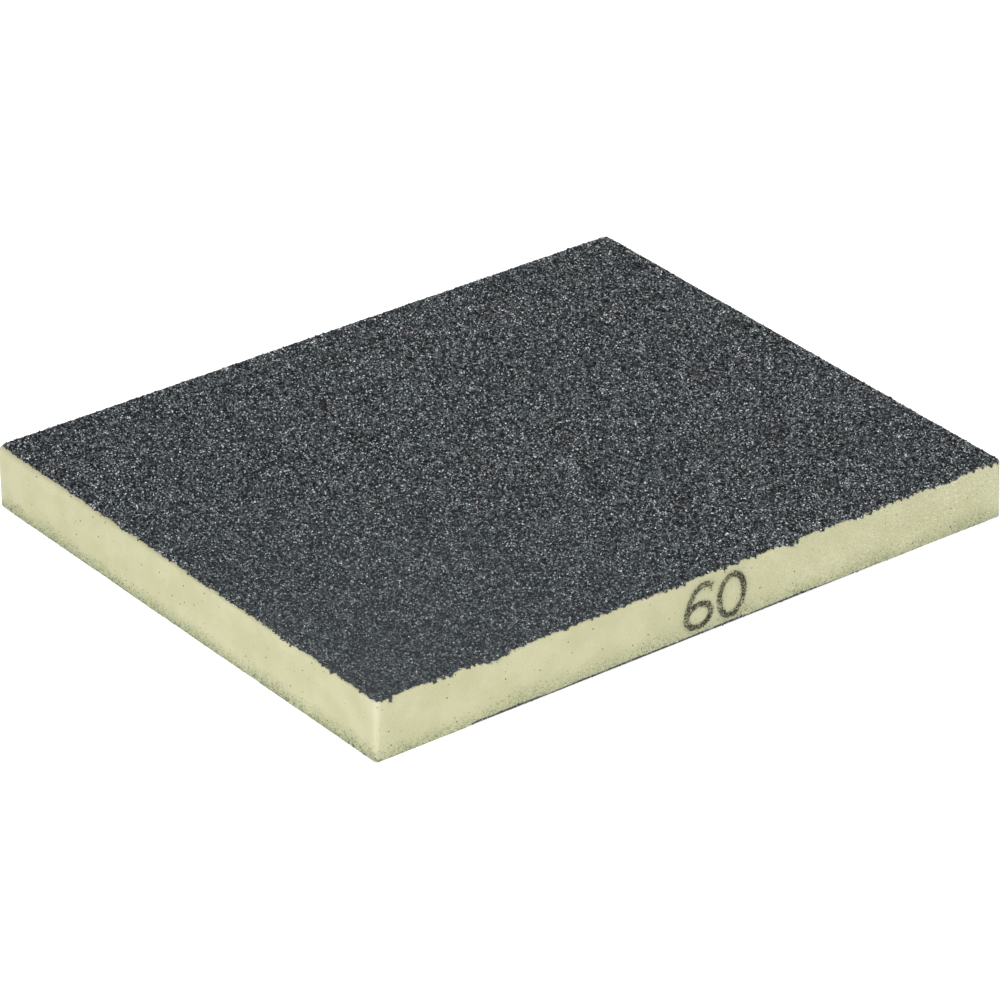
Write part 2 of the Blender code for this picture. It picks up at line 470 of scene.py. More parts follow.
def ink_shade(points, faces):
    """How much stamping ink each foam point takes: the strokes' soft edge and a faint halo."""
    trees = []
    for face in faces:
        corners = [vertex.co for vertex in face.vertices]
        trees.append(BVHTree.FromPolygons(corners, [polygon.vertices for polygon in face.polygons]))
    shade = np.zeros(len(points))
    near = (points[:, 1] < INK_ZONE[1] - HALF_Y) & (np.abs(points[:, 0]) < INK_ZONE[0])
    for index in np.where(near)[0]:
        x, _, z = points[index]
        gap = min(tree.find_nearest(Vector((x, -HALF_Y, z)))[3] for tree in trees)
        blur = INK_SHARES[0] * math.exp(-((gap / INK_BLUR) ** 2))
        shade[index] = blur + INK_SHARES[1] * math.exp(-((gap / INK_HALO) ** 2))
    return shade


def outline_of_foam():
    return outline(round(2 * HALF_X / FOAM_STEP), round(2 * HALF_Y / FOAM_STEP))


def foam_points():
    """The foam's cut side, row by row from its foot to its rim."""
    x, y, out_x, out_y = outline_of_foam()
    cover = lip_cover(x, y, out_x, out_y)
    foot = LIP_HIGH_Z + (LIP_LOW_Z - LIP_HIGH_Z) * cover
    foot = foot + LIP_WAVE * hills(x, y, 0, LIP_WAVE_LENGTH, seed=4)
    share = np.concatenate([np.linspace(0, RIM_SHARES[0], FOAM_ROWS), RIM_SHARES[1:]])[:, None]
    z = foot + (FOAM_TOP_Z - foot) * share
    cells = -CELL_DEPTH * cell_strength(x, y) * np.abs(hills(x, y, z, CELL_SIZE, seed=3))
    radius = rim_radius(y, out_x)
    low = np.clip(1 - (z - foot) / FOAM_FOOT_RADIUS, 0, 1)
    high = np.clip(1 - (FOAM_TOP_Z - z) / radius, 0, 1)
    inset = FOAM_FOOT_RADIUS * (1 - np.sqrt(1 - low ** 2))
    inset = inset + radius * (1 - np.sqrt(1 - high ** 2))
    foot_proud = foot_offset(x, out_y)
    proud = foot_proud + (FOAM_PROUD - foot_proud) * share
    offset = proud + cut_wave(x, y, z, share) + cells - inset
    moved_x = x + end_stretch(x, y, share) + out_x * offset
    return np.stack([moved_x, y + out_y * offset, z], -1), len(x)


def cell_strength(x, y):
    """The blade tore the foam's cells more towards the right end of the pad."""
    return CALM_CELLS + (1 - CALM_CELLS) * ramp(x + TORN_SLANT * y, TORN_FROM, TORN_TO)


def corner_highlight_share(points):
    """1 on the pad's upright corners, where a painted highlight lightens the foam, and 0 away from
    them.
    """
    x, y, _ = points.T
    gap = np.hypot(HALF_X - np.abs(x), HALF_Y - np.abs(y))
    return np.exp(-((gap / CORNER_HIGHLIGHT_REACH) ** 2))


def foam_block(material, faces):
    """The foam slab with its knife-cut side, and the values that its material reads."""
    side, count = foam_points()
    shrink = np.array([1 - LEDGE_WIDTH / HALF_X, 1 - LEDGE_WIDTH / HALF_Y, 1])
    foot_ring = side[0] * (FOOT_RING_SHARE, FOOT_RING_SHARE, 0) + (0, 0, LIP_HIGH_Z)
    ledge_ring = side[-1] * shrink
    hubs = np.array([[0, 0, LIP_HIGH_Z], [0, 0, FOAM_TOP_Z - ROOF_DIP]])
    stack = np.concatenate([foot_ring, side.reshape(-1, 3), ledge_ring, hubs])
    total = len(side) + 2
    walls = ring_faces(count, total)
    hub = total * count
    floor_fan = fan_faces(np.arange(count), hub, up=False)
    roof_fan = fan_faces(np.arange(count) + (total - 1) * count, hub + 1, up=True)
    piece = new_piece("foam_block", stack, [walls, floor_fan, roof_fan], material)
    mesh = piece.data
    set_attribute(mesh, "ink", ink_shade(stack, faces))
    set_attribute(mesh, "cover", dust_share(stack))
    set_attribute(mesh, "grime", grime_share(stack))
    set_attribute(mesh, "torn", cell_strength(stack[:, 0], stack[:, 1]))
    set_attribute(mesh, "painted_corner_highlight", corner_highlight_share(stack))
    set_attribute(mesh, "stain", stain_share(stack, count))
    strip_map(mesh, stack, count, total)
    mesh.shade_smooth()
    mesh.set_sharp_from_angle(angle=SMOOTH_BELOW)
    return piece


def stain_share(points, count):
    """How much resin each foam point soaked up: some just past the rim of the top coat."""
    x, y, out_x, out_y = outline_of_foam()
    wander, _ = edge_wander(x, y, out_x, out_y)
    share = np.zeros(len(points))
    for first in range(0, len(points) - count + 1, count):
        ring = points[first: first + count]
        past = (ring[:, 0] - x) * out_x + (ring[:, 1] - y) * out_y - wander
        past = np.maximum(past, 0) + np.maximum(FOAM_TOP_Z - ring[:, 2], 0)
        soaked = np.exp(-((past / STAIN_REACH) ** 2))
        share[first: first + count] = soaked * (1 - LEFT_STAIN_LOSS * np.maximum(-out_x, 0))
    return share


def foam_height(z):
    """0 at the foam's foot and 1 at its rim."""
    return (z - LIP_LOW_Z) / (FOAM_TOP_Z - LIP_LOW_Z)


def grime_share(points):
    """How dull each foam point is: a band that fades upwards from the foot, uneven along its length."""
    x, y, z = points.T
    (slow, slow_length), (fine, fine_length) = GRIME_HILLS
    swing = 1 + slow * hills(x, y, 0, slow_length, seed=7) + fine * hills(x, y, 0, fine_length, seed=8)
    reach = np.maximum(GRIME_HEIGHT * swing, LEAST_GRIME_HEIGHT)
    left = 1 + LEFT_GRIME * (x < -HALF_X + SIDE_SKIN)
    return np.clip(1 - foam_height(z) / reach, 0, 1) ** GRIME_FALL * left


def dust_share(points):
    """How thickly grit dust clings to each foam point: most near the foot, in patches."""
    x, y, z = points.T
    patches = DUST_PATCH_MIDDLE + DUST_PATCH_SWING * hills(x, y, z, DUST_PATCH, seed=6)
    low = np.clip(1 - foam_height(z) / DUST_HEIGHT, 0, 1) ** DUST_FALL
    share = DUST_EVERYWHERE + low * np.clip(patches, *DUST_PATCH_LIMITS)
    outside = (np.abs(x) > HALF_X - SIDE_SKIN) | (np.abs(y) > HALF_Y - SIDE_SKIN)
    return share * outside


def strip_map(mesh, points, count, total):
    """The side as strips one above the other, and the hidden top and foot in the last row."""
    strips = FOAM_STRIPS
    span = 1 - 2 * STRIP_MARGIN
    level, column = np.meshgrid(np.arange(total - 1), np.arange(count), indexing="ij")
    spot = column * strips / count
    strip = np.floor(spot)
    left = spot - strip
    right = np.minimum(left + strips / count, 1)
    low = (strip + STRIP_MARGIN + span * level / (total - 1)) / (strips + 1)
    high = (strip + STRIP_MARGIN + span * (level + 1) / (total - 1)) / (strips + 1)
    walls = np.stack([left, low, right, low, right, high, left, high], -1).reshape(-1, 2)
    caps = []
    for polygon in mesh.polygons[(total - 1) * count:]:
        shift = 0.5 if polygon.index >= total * count else 0.0
        for vertex in polygon.vertices:
            x, y, _ = points[vertex]
            u = shift + CAP_WIDTH * (0.5 + CAP_REACH[0] * x / HALF_X)
            v = (strips + 0.5 + CAP_REACH[1] * y / HALF_Y) / (strips + 1)
            caps.append((u, v))
    set_map(mesh, np.concatenate([walls, np.array(caps)]))


# Grit beds


def grit_bed(name, side, high, cells, seed, material):
    """One coat's bed of grit and resin: random facets with a ragged edge that turns over the foam.

    side is 1 for the coat that faces up and -1 for the one that faces down, high is the height of
    its outer grains, and cells is its number of facets along X and along Y.
    """
    rng = np.random.default_rng(seed)
    grid_x, grid_y = np.meshgrid(
        np.linspace(-HALF_X, HALF_X, cells[0] + 1),
        np.linspace(-HALF_Y, HALF_Y, cells[1] + 1),
    )
    inner = np.zeros(grid_x.shape, bool)
    inner[1:-1, 1:-1] = True
    cell_x = 2 * HALF_X / cells[0]
    cell_y = 2 * HALF_Y / cells[1]
    x, y, _, _ = rounded(grid_x, grid_y)
    x = x + inner * cell_x * BED_JITTER * rng.uniform(-1, 1, x.shape)
    y = y + inner * cell_y * BED_JITTER * rng.uniform(-1, 1, x.shape)
    z = high - side * (BED_DEPTH + BED_RELIEF * rng.uniform(-1, 1, x.shape))
    top = np.stack([x, y, z], -1).reshape(-1, 3)
    edge = grid_edge(*cells)
    rings = skirt_rings(side, high, cells, top[edge, 2], rng)
    count = len(edge)
    top[edge] = rings[0]
    hub = np.array([[0, 0, high - side * (BED_DEPTH + 2 * SKIRT_DROP)]])
    points = np.concatenate([top] + rings[1:] + [hub])
    faces = bed_faces(*cells, edge, len(rings) - 1, rng)
    if side < 0:
        faces = [group[:, ::-1] for group in faces]
    piece = new_piece(name, points, faces, material)
    cover = np.zeros(len(points))
    cover[: len(top)] = 1
    cover[len(top): len(top) + count] = RIM_COVER if side > 0 else 0.0
    set_attribute(piece.data, "cover", cover)
    flat_map(piece.data)
    return piece


def grid_edge(columns, rows):
    """Index of a grid's outer points, counter-clockwise from its front left corner."""
    index = np.arange((columns + 1) * (rows + 1)).reshape(rows + 1, columns + 1)
    return np.concatenate([index[0, :-1], index[:-1, -1], index[-1, :0:-1], index[:0:-1, 0]])


def skirt_rings(side, high, cells, edge_z, rng):
    """The bed's edge: its rim, the ragged hem at its foot, and a ring tucked behind."""
    x, y, out_x, out_y = outline(*cells)
    count = len(x)
    wander, calm = edge_wander(x, y, out_x, out_y)
    middle = high - side * BED_DEPTH
    edge_z = middle + (edge_z - middle) * calm
    if side > 0:
        rim = wander + EDGE_TEETH * calm * rng.uniform(-1, 1, count)
        hem = rim + HEM_REACH + HEM_TEETH * calm * rng.uniform(-1, 1, count)
        drop = SKIRT_DROP + HEM_SAG * np.maximum(wander, 0) + EDGE_TEETH * rng.uniform(0, 1, count)
    else:
        rim = foot_offset(x, out_y) - COAT_INSET
        rim = rim - LIP_INSET * ramp(lip_cover(x, y, out_x, out_y), *BED_HIDING)
        x = x + end_stretch(x, y, 0)
        hem = rim + LOW_HEM_TEETH * rng.uniform(-1, 1, count)
        drop = np.full(count, LOW_SKIRT_DROP)
        edge_z = np.full(count, high)
    hem_z = high - side * (BED_DEPTH + drop)
    tuck = np.full(count, -SKIRT_TUCK)
    offsets = [(rim, edge_z), (hem, hem_z), (tuck, hem_z - side * TUCK_RISE)]
    return [np.stack([x + out_x * o, y + out_y * o, z], -1) for o, z in offsets]


def bed_faces(columns, rows, edge, skirts, rng):
    """Triangles of the jittered grid, each square cut along a random diagonal, and of its skirt."""
    index = np.arange((columns + 1) * (rows + 1)).reshape(rows + 1, columns + 1)
    a, b = index[:-1, :-1].ravel(), index[:-1, 1:].ravel()
    d, c = index[1:, :-1].ravel(), index[1:, 1:].ravel()
    first = rng.random(len(a)) < 0.5
    one = np.where(first[:, None], np.stack([a, b, c], -1), np.stack([a, b, d], -1))
    two = np.where(first[:, None], np.stack([a, c, d], -1), np.stack([b, c, d], -1))
    count = len(edge)
    start = index.size
    rings = [edge] + [start + level * count + np.arange(count) for level in range(skirts)]
    walls = []
    for up, low in zip(rings, rings[1:]):
        walls.append(np.stack([low, np.roll(low, -1), np.roll(up, -1), up], -1))
    return [one, two] + walls + [fan_faces(rings[-1], start + skirts * count, up=False)]


def flat_map(mesh):
    """The piece as seen from above, as its UV map."""
    points = np.zeros(len(mesh.vertices) * 3)
    mesh.vertices.foreach_get("co", points)
    corners = np.zeros(len(mesh.loops), int)
    mesh.loops.foreach_get("vertex_index", corners)
    x, y, _ = points.reshape(-1, 3)[corners].T
    reach = BED_MAP_REACH
    set_map(mesh, np.stack([0.5 + x / reach / 2, 0.5 + y / reach / 2], -1))


# Binder fringe


def binder_fringe(name, side, seed, material):
    """The thin purple-brown resin film that creeps out from under a coat over the foam."""
    rng = np.random.default_rng(seed)
    x, y, out_x, out_y = outline(*FRINGE_CELLS)
    count = len(x)
    creep = CREEP * hills(x, y, 0, CREEP_LENGTH, seed) + CREEP_TEETH * rng.uniform(-1, 1, count)
    if side > 0:
        wander, _ = edge_wander(x, y, out_x, out_y)
        outer = wander - FRINGE_INSET + creep
        wave = cut_wave(x, y, FOAM_TOP_Z, 1.0)
        radius = rim_radius(y, out_x)
        past = outer - wave - (FOAM_PROUD - radius) - out_x * end_stretch(x, y, 1)
        past = np.clip(past, 0, radius)
        ledge = FOAM_TOP_Z - radius + np.sqrt(radius ** 2 - past ** 2)
        low, high = ledge - FRINGE_SINK, ledge + FRINGE_LIFT
    else:
        outer = foot_offset(x, out_y) - COAT_INSET - LOW_FRINGE_INSET
        outer = outer - LIP_INSET * ramp(lip_cover(x, y, out_x, out_y), *FRINGE_HIDING)
        low = np.full(count, BOTTOM_GRIT_HIGH.z)
        high = BOTTOM_BOND_HIGH.z - LOW_FRINGE_SINK + CREEP_LIFT * creep
        x = x + end_stretch(x, y, 0)
    inner = np.full(count, -FRINGE_TUCK)
    rings = [(inner, low), (outer, low), (outer, high), (inner, high)]
    points = np.concatenate([np.stack([x + out_x * o, y + out_y * o, z], -1) for o, z in rings])
    walls = ring_faces(count, 4)
    close = np.arange(count)
    after = np.roll(close, -1)
    back = np.stack([3 * count + close, 3 * count + after, after, close], -1)
    return new_piece(name, points, [walls, back], material)


# Crystals and scattering


def crystal_shapes():
    """Rough six-sided crystals, about one unit across, to copy grains from."""
    rng = np.random.default_rng(CRYSTAL_SEED)
    shelf = bpy.data.collections.new("crystals")
    bpy.context.scene.collection.children.link(shelf)
    third = 2 * math.pi / 3
    belt = [(math.cos(third * i), math.sin(third * i), 0) for i in range(3)]
    tips = np.array(belt + [(0, 0, CRYSTAL_TIP), (0, 0, -CRYSTAL_TIP)])
    for number in range(CRYSTAL_SHAPES):
        points = tips * rng.uniform(*CRYSTAL_REACH, (len(tips), 1))
        points += CRYSTAL_JITTER * rng.uniform(-1, 1, tips.shape)
        points *= rng.uniform(*CRYSTAL_SQUASH, 3) * CRYSTAL_SIZE
        work = bmesh.new()
        for point in points:
            work.verts.new(point)
        bmesh.ops.convex_hull(work, input=work.verts)
        bmesh.ops.triangulate(work, faces=work.faces)
        bmesh.ops.recalc_face_normals(work, faces=work.faces)
        mesh = bpy.data.meshes.new(f"crystal_{number}")
        work.to_mesh(mesh)
        work.free()
        shelf.objects.link(bpy.data.objects.new(f"crystal_{number}", mesh))
    return shelf


def add_node(tree, kind, **settings):
    node = tree.nodes.new(kind)
    for name, value in settings.items():
        setattr(node, name, value)
    return node


def random_value(tree, kind, seed_socket, shift):
    """A Random Value node whose seed is the tree's seed moved on by shift."""
    node = add_node(tree, "FunctionNodeRandomValue", data_type=kind)
    seed = add_node(tree, "ShaderNodeMath", operation="ADD")
    seed.inputs[1].default_value = shift
    tree.links.new(seed_socket, seed.inputs[0])
    tree.links.new(seed.outputs[0], node.inputs["Seed"])
    return node


def new_tree(name):
    """An empty modifier tree with the sockets that every scatter uses. Gives it and its inputs."""
    tree = bpy.data.node_groups.new(name, "GeometryNodeTree")
    tree.is_modifier = True
    tree.interface.new_socket("Surface", in_out="INPUT", socket_type="NodeSocketGeometry")
    for label, kind in SCATTER_SOCKETS:
        tree.interface.new_socket(label, in_out="INPUT", socket_type=f"NodeSocket{kind}")
    tree.interface.new_socket("Grains", in_out="OUTPUT", socket_type="NodeSocketGeometry")
    return tree, add_node(tree, "NodeGroupInput").outputs


def spread_points(tree, given):
    """Random points on the surface, thicker where its cover is higher, each shifted a little."""
    link = tree.links.new
    cover = add_node(tree, "GeometryNodeInputNamedAttribute", data_type="FLOAT")
    cover.inputs["Name"].default_value = "cover"
    density = add_node(tree, "ShaderNodeMath", operation="MULTIPLY")
    link(cover.outputs["Attribute"], density.inputs[0])
    link(given["Per square metre"], density.inputs[1])
    spread = add_node(tree, "GeometryNodeDistributePointsOnFaces", distribute_method="RANDOM")
    link(given["Surface"], spread.inputs["Mesh"])
    link(density.outputs[0], spread.inputs["Density"])
    link(given["Seed"], spread.inputs["Seed"])
    shift = random_value(tree, "FLOAT_VECTOR", given["Seed"], 1)
    link(given["Lowest shift"], shift.inputs["Min"])
    link(given["Highest shift"], shift.inputs["Max"])
    moved = add_node(tree, "GeometryNodeSetPosition")
    link(spread.outputs["Points"], moved.inputs["Geometry"])
    link(shift.outputs[0], moved.inputs["Offset"])
    return moved.outputs["Geometry"]


def dropped_points(tree, given, points):
    """The points moved back along Y until they meet the object that they lie on."""
    link = tree.links.new
    target = add_node(tree, "GeometryNodeObjectInfo")
    link(given["Onto"], target.inputs["Object"])
    ray = add_node(tree, "GeometryNodeRaycast")
    link(target.outputs["Geometry"], ray.inputs["Target Geometry"])
    ray.inputs["Ray Direction"].default_value = (0, 1, 0)
    start = add_node(tree, "ShaderNodeVectorMath", operation="SUBTRACT")
    start.inputs[1].default_value = (0, RAY_START, 0)
    link(add_node(tree, "GeometryNodeInputPosition").outputs[0], start.inputs[0])
    link(start.outputs[0], ray.inputs["Source Position"])
    ray.inputs["Ray Length"].default_value = RAY_LENGTH
    moved = add_node(tree, "GeometryNodeSetPosition")
    link(points, moved.inputs["Geometry"])
    link(ray.outputs["Is Hit"], moved.inputs["Selection"])
    link(ray.outputs["Hit Position"], moved.inputs["Position"])
    return moved.outputs["Geometry"]


def crystals_on(tree, given, points):
    """A crystal on each point, turned and sized at random, and its random tone, as real faces."""
    link = tree.links.new
    seed = given["Seed"]
    turn = random_value(tree, "FLOAT_VECTOR", seed, 2)
    turn.inputs["Max"].default_value = (2 * math.pi,) * 3
    size = random_value(tree, "FLOAT", seed, 3)
    link(given["Smallest"], size.inputs[2])
    link(given["Largest"], size.inputs[3])
    shelf = add_node(tree, "GeometryNodeCollectionInfo")
    shelf.inputs["Separate Children"].default_value = True
    shelf.inputs["Reset Children"].default_value = True
    link(given["Crystals"], shelf.inputs["Collection"])
    pick = random_value(tree, "INT", seed, 4)
    pick.inputs[5].default_value = CRYSTAL_SHAPES - 1
    copies = add_node(tree, "GeometryNodeInstanceOnPoints")
    copies.inputs["Pick Instance"].default_value = True
    link(points, copies.inputs["Points"])
    link(shelf.outputs[0], copies.inputs["Instance"])
    link(pick.outputs[2], copies.inputs["Instance Index"])
    link(turn.outputs[0], copies.inputs["Rotation"])
    link(size.outputs[1], copies.inputs["Scale"])
    tone = random_value(tree, "FLOAT", seed, 5)
    kept = add_node(tree, "GeometryNodeStoreNamedAttribute", data_type="FLOAT", domain="INSTANCE")
    kept.inputs["Name"].default_value = "tone"
    link(copies.outputs["Instances"], kept.inputs["Geometry"])
    link(tone.outputs[1], kept.inputs["Value"])
    real = add_node(tree, "GeometryNodeRealizeInstances")
    link(kept.outputs["Geometry"], real.inputs["Geometry"])
    finish = add_node(tree, "GeometryNodeSetMaterial")
    link(real.outputs["Geometry"], finish.inputs["Geometry"])
    link(given["Material"], finish.inputs["Material"])
    result = add_node(tree, "NodeGroupOutput")
    link(finish.outputs["Geometry"], result.inputs["Grains"])


def scatter_tree():
    """Geometry nodes that scatter crystals over a surface."""
    tree, given = new_tree("scatter_crystals")
    crystals_on(tree, given, spread_points(tree, given))
    return tree


def stamp_tree():
    """Geometry nodes that stamp ink specks from a flat shape onto the object behind it."""
    tree, given = new_tree("stamp_specks")
    crystals_on(tree, given, dropped_points(tree, given, spread_points(tree, given)))
    return tree


def scattered(name, tree, surface, shelf, density, sizes, shifts, seed, material, onto=None):
    """A plain mesh of the crystals from the shelf that tree scatters over the surface mesh.

    sizes and shifts hold the lowest and the highest value. onto is the object that specks drop on.
    """
    piece = new_object(name, surface)
    modifier = piece.modifiers.new("scatter", "NODES")
    modifier.node_group = tree
    labels = {item.name: item.identifier for item in tree.interface.items_tree}
    values = (shelf, onto, density, *sizes, *shifts, seed, material)
    for (label, _), value in zip(SCATTER_SOCKETS, values):
        if value is not None:
            modifier[labels[label]] = value
    evaluated = piece.evaluated_get(bpy.context.evaluated_depsgraph_get())
    mesh = bpy.data.meshes.new_from_object(evaluated)
    mesh.name = name
    piece.modifiers.remove(modifier)
    piece.data = mesh
    for old in ("cover", "grime", "ink", "torn", "painted_corner_highlight", "stain"):
        if old in mesh.attributes:
            mesh.attributes.remove(mesh.attributes[old])
    while mesh.uv_layers:
        mesh.uv_layers.remove(mesh.uv_layers[0])
    cell_map(mesh)
    return piece


def digit_face(name, drop):
    """The front of a digit's strokes, drawn in a little, as a flat mesh to stamp ink from."""
    mesh = frame["nodes"][name].data.copy()
    work = bmesh.new()
    work.from_mesh(mesh)
    bmesh.ops.remove_doubles(work, verts=work.verts, dist=WELD_DISTANCE)
    front = min(vertex.co.y for vertex in work.verts)
    behind = [face for face in work.faces if face.calc_center_median().y > front + FLAT_WITHIN]
    bmesh.ops.delete(work, geom=behind, context="FACES")
    border = bmesh.ops.inset_region(work, faces=work.faces, thickness=INK_INSET, use_even_offset=True)
    bmesh.ops.delete(work, geom=border["faces"], context="FACES")
    bmesh.ops.translate(work, verts=work.verts, vec=(0, 0, drop))
    work.to_mesh(mesh)
    work.free()
    x, y, z = np.array([vertex.co for vertex in mesh.vertices]).T
    patches = INK_PATCH_MIDDLE + INK_PATCH_SWING * hills(x, y, z, INK_PATCH, seed=51)
    set_attribute(mesh, "cover", np.clip(patches, *INK_PATCH_LIMITS))
    return mesh


def cell_map(mesh):
    """A UV map with a small square for each grain, and a part of it for each of its faces."""
    grains = len(mesh.polygons) // CRYSTAL_FACES
    across = math.ceil(math.sqrt(grains))
    face = np.arange(len(mesh.polygons))
    grain, part = face // CRYSTAL_FACES, face % CRYSTAL_FACES
    left = (grain % across + MAP_CELL_MARGIN + MAP_CELL_SPAN * (part // 2) / 4) / across
    low = (grain // across + MAP_CELL_MARGIN) / across
    wide, tall = MAP_CELL_SPAN / 4 / across, MAP_CELL_SPAN / across
    odd = part % 2
    corners = np.stack([
        left + odd * wide, low + odd * tall,
        left + np.where(odd, 0, wide), low + odd * tall,
        left + odd * wide, low + np.where(odd, 0, tall),
    ], -1).reshape(-1, 2)
    set_map(mesh, corners)


# Materials


def new_material(name, roughness):
    """A plain Principled material. Gives the material, its tree and its shader."""
    material = bpy.data.materials.new(name)
    material.use_nodes = True
    shader = material.node_tree.nodes["Principled BSDF"]
    shader.inputs["Roughness"].default_value = roughness
    return material, material.node_tree, shader


def place(tree):
    """The piece's own coordinates."""
    return add_node(tree, "ShaderNodeTexCoord").outputs["Object"]


def noise_at(tree, scale, detail=2.0, rough=0.5, stretch=(1, 1, 1)):
    """Soft noise. A stretch below 1 draws it out along that axis."""
    squeeze = add_node(tree, "ShaderNodeMapping")
    squeeze.inputs["Scale"].default_value = stretch
    tree.links.new(place(tree), squeeze.inputs["Vector"])
    node = add_node(tree, "ShaderNodeTexNoise")
    node.inputs["Scale"].default_value = scale
    node.inputs["Detail"].default_value = detail
    node.inputs["Roughness"].default_value = rough
    tree.links.new(squeeze.outputs["Vector"], node.inputs["Vector"])
    return node.outputs["Fac"]


def cells_at(tree, scale):
    """A pattern of random cells."""
    node = add_node(tree, "ShaderNodeTexVoronoi", feature="F1")
    node.inputs["Scale"].default_value = scale
    tree.links.new(place(tree), node.inputs["Vector"])
    return node


def color_ramp(tree, source, stops):
    """Colours along a value, from pairs of a place and a colour."""
    node = add_node(tree, "ShaderNodeValToRGB")
    elements = node.color_ramp.elements
    while len(elements) > 1:
        elements.remove(elements[-1])
    elements[0].position, elements[0].color = stops[0][0], (*stops[0][1], 1)
    for position, color in stops[1:]:
        elements.new(position).color = (*color, 1)
    tree.links.new(source, node.inputs["Fac"])
    return node.outputs["Color"]


def mix(tree, share, first, second, blend="MIX"):
    """A mix of two colours, each a socket or a plain colour."""
    node = add_node(tree, "ShaderNodeMix", data_type="RGBA", blend_type=blend)
    sockets = (node.inputs["Factor"], node.inputs[6], node.inputs[7])
    for socket, value in zip(sockets, (share, first, second)):
        if isinstance(value, bpy.types.NodeSocket):
            tree.links.new(value, socket)
        else:
            socket.default_value = value if isinstance(value, float) else (*value, 1)
    return node.outputs[2]


def remapped(tree, source, low, high, to_low=0.0, to_high=1.0):
    """The part of a value between low and high, drawn out between two others."""
    node = add_node(tree, "ShaderNodeMapRange")
    for name, value in (("From Min", low), ("From Max", high), ("To Min", to_low), ("To Max", to_high)):
        node.inputs[name].default_value = value
    tree.links.new(source, node.inputs["Value"])
    return node.outputs["Result"]


def bump(tree, shader, height, distance):
    node = add_node(tree, "ShaderNodeBump")
    node.inputs["Distance"].default_value = distance
    node.inputs["Strength"].default_value = 1.0
    tree.links.new(height, node.inputs["Height"])
    tree.links.new(node.outputs["Normal"], shader.inputs["Normal"])


def attribute(tree, name):
    """One of the piece's own values."""
    return add_node(tree, "ShaderNodeAttribute", attribute_name=name).outputs["Fac"]


def product(tree, first, second):
    """Two values multiplied."""
    node = add_node(tree, "ShaderNodeMath", operation="MULTIPLY")
    tree.links.new(first, node.inputs[0])
    tree.links.new(second, node.inputs[1])
    return node.outputs[0]


def foam_material():
    """Cream polyurethane foam: open cells, knife wisps, faint mottling, pores darkened with painted
    shade, grime, ink, and a painted highlight along the upright corners.
    """
    material, tree, shader = new_material("foam", 0.95)
    shader.inputs["Specular IOR Level"].default_value = 0.15
    base = color_ramp(tree, noise_at(tree, 210), FOAM_TONES)
    # Painted highlight: the foam is lightened along the pad's upright corners
    painted_corner_highlight = remapped(tree, attribute(tree, "painted_corner_highlight"), 0.0, 1.0, 0.0, 0.35)
    base = mix(tree, painted_corner_highlight, base, CORNER_HIGHLIGHT_TONE)

    # Torn cells and wisps
    torn = attribute(tree, "torn")
    cells = remapped(tree, noise_at(tree, 3900, 1.0), 0.54, 0.69, 0.0, 0.62)
    cells = product(tree, cells, remapped(tree, torn, 0.3, 1.0, 0.06, 1.0))
    base = mix(tree, cells, base, CELL_TONE)
    wisps = noise_at(tree, 4600, 2.0, 0.6, (0.45, 0.45, 1.0))
    wisps = remapped(tree, wisps, 0.54, 0.68, 0.0, 0.60)
    wisps = product(tree, wisps, remapped(tree, torn, 0.3, 1.0, 0.03, 1.0))
    base = mix(tree, wisps, base, WISP_TONE)

    # Grime at the foot: a haze, and darker specks in it
    grime = attribute(tree, "grime")
    haze = remapped(tree, noise_at(tree, 1100, 3.0, 0.6), 0.38, 0.62, 0.18, 0.62)
    base = mix(tree, product(tree, grime, haze), base, HAZE_TONE)
    specks = remapped(tree, noise_at(tree, 3300, 2.0, 0.6), 0.55, 0.66)
    base = mix(tree, product(tree, grime, specks), base, SPECK_TONE)

    # Resin under the top coat's rim
    fine = remapped(tree, noise_at(tree, 1900), 0.40, 0.60)
    patchy = product(tree, fine, remapped(tree, noise_at(tree, 170), 0.45, 0.6))
    base = mix(tree, product(tree, attribute(tree, "stain"), patchy), base, STAIN_TONE)

    # A few larger pores, as dark dots of painted shade
    pore_shade = remapped(tree, cells_at(tree, 560).outputs["Distance"], 0.060, 0.100, 0.95, 0.0)
    some = remapped(tree, noise_at(tree, 120), 0.44, 0.52)
    base = mix(tree, product(tree, pore_shade, some), base, PORE_SHADE_TONE)

    # The digits' blurred ink
    inked = remapped(tree, attribute(tree, "ink"), 0.0, 1.0, 0.0, 0.75)
    inked = product(tree, inked, remapped(tree, noise_at(tree, 2600), 0.40, 0.60, 0.35, 1.0))
    base = mix(tree, inked, base, BLURRED_INK_TONE)
    tree.links.new(base, shader.inputs["Base Color"])
    bump(tree, shader, cells_at(tree, 2900).outputs["Distance"], 0.05 * MM)
    return material


def weathered(tree, tone):
    """Slow shifts of a coat's tone towards teal and plum, and evener grit at the handled corner."""
    hue = color_ramp(tree, noise_at(tree, 330), COAT_HUES)
    tone = mix(tree, 1.0, tone, hue, "MULTIPLY")
    gap = add_node(tree, "ShaderNodeVectorMath", operation="DISTANCE")
    gap.inputs[1].default_value = (-HALF_X, -HALF_Y, TOP_GRIT_HIGH.z)
    tree.links.new(place(tree), gap.inputs[0])
    handled = remapped(tree, gap.outputs["Value"], 0.0, HANDLED_REACH, HANDLED_SHARE, 0.0)
    return mix(tree, handled, tone, HANDLED_TONE)


def bed_material():
    """Dark resin and fine grit between the grains."""
    material, tree, shader = new_material("grit_bed", 0.45)
    shader.inputs["Specular IOR Level"].default_value = 0.35
    patches = cells_at(tree, 3500).outputs["Color"]
    tone = color_ramp(tree, patches, BED_TONES)
    tree.links.new(weathered(tree, tone), shader.inputs["Base Color"])
    tree.links.new(remapped(tree, patches, 0.0, 1.0, 0.30, 0.60), shader.inputs["Roughness"])
    return material


